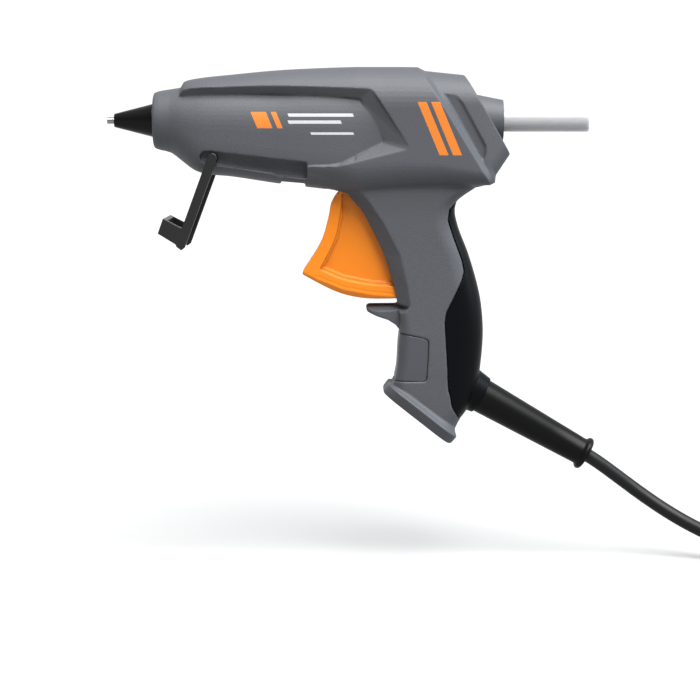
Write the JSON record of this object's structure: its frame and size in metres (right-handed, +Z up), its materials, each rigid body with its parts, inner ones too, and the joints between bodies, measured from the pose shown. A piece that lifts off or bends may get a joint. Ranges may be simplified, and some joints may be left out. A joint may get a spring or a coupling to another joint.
{
  "type": "hot glue gun",
  "caption": "Hand-held hot glue gun with a steel nozzle, sprung trigger feed, folding stand, soft-grip handle and a mains lead in a tied hank.",
  "frame": {"origin": "middle of the hand grip, on the plane where the two shells meet", "axes": "-X towards the nozzle along the glue line, +X towards the stick inlet, +Z up with the barrel level, +Y across the tool"},
  "size_m": [0.4828, 0.0646, 0.2465],
  "materials": {
    "housing_grey": "fine spark texture, satin",
    "screw_steel": "zinc plated",
    "grip_rubber": "soft, satin",
    "pad_rubber": "matte",
    "inner_plastic": "matte",
    "cast_aluminium": "as cast",
    "heater_ceramic": "insulating film",
    "spring_steel": "bright",
    "seal_silicone": "matte silicone",
    "heat_board": "moulded phenolic",
    "nozzle_steel": "turned",
    "sleeve_silicone": "matte silicone",
    "wire_insulation": "glass braid sleeve",
    "relief_rubber": "satin",
    "cord_rubber": "satin",
    "tie_plastic": "matte",
    "plug_rubber": "satin",
    "pin_brass": "nickel plated",
    "trigger_orange": "satin gloss",
    "glue": "translucent, waxy",
    "stand_plastic": "satin"
  },
  "bodies": {
    "tool": {"left_housing": "housing_grey", "right_housing": "housing_grey", "housing_screws": "screw_steel", "left_grip": "grip_rubber", "right_grip": "grip_rubber", "finger_pad": "pad_rubber", "inlet_funnel": "housing_grey", "guide_tube": "inner_plastic", "melt_chamber": "cast_aluminium", "ptc_heater": "heater_ceramic", "heater_clip": "spring_steel", "inlet_seal": "seal_silicone", "chamber_ring": "heat_board", "nozzle": "nozzle_steel", "valve_ball": "nozzle_steel", "valve_spring": "spring_steel", "nozzle_sleeve": "sleeve_silicone", "trigger_pin": "screw_steel", "lead_wires": "wire_insulation", "terminal_block": "inner_plastic", "cord_clamp": "inner_plastic", "clamp_screws": "screw_steel", "strain_relief": "relief_rubber", "power_cord": "cord_rubber", "cord_hank": "cord_rubber", "hank_tie": "tie_plastic", "mains_plug": "plug_rubber", "plug_pins": "pin_brass", "trigger_spring": "spring_steel"},
    "trigger": {"trigger": "trigger_orange"},
    "carriage": {"feed_carriage": "inner_plastic", "gripper": "spring_steel", "gripper_spring": "spring_steel", "carriage_pin": "screw_steel"},
    "stick": {"glue_stick": "glue"},
    "stand": {"stand": "stand_plastic", "stand_pins": "stand_plastic"}
  },
  "joints": [
    {"name": "trigger_pull", "type": "hinge", "parent": "tool", "child": "trigger", "pos_m": [-0.038, 0, 0.061], "axis": [0, -1, 0], "range_deg": [0, 18], "stiffness_Nm_per_rad": 0.6, "springref_deg": -20.05, "deforming": ["trigger_spring"]},
    {"name": "carriage_feed", "type": "slide", "parent": "tool", "child": "carriage", "axis": [-1, 0, 0], "range_m": [0, 0.00524]},
    {"name": "stick_slide", "type": "slide", "parent": "tool", "child": "stick", "axis": [-1, 0, 0], "range_m": [-0.14, 0.02]},
    {"name": "stand_fold", "type": "hinge", "parent": "tool", "child": "stand", "pos_m": [-0.1068, 0, 0.0711], "axis": [0, -1, 0], "range_deg": [0, 96]}
  ],
  "couplings": [
    {"joint": "carriage_feed", "follows": "trigger_pull", "m_per_rad": 0.01664}
  ]
}
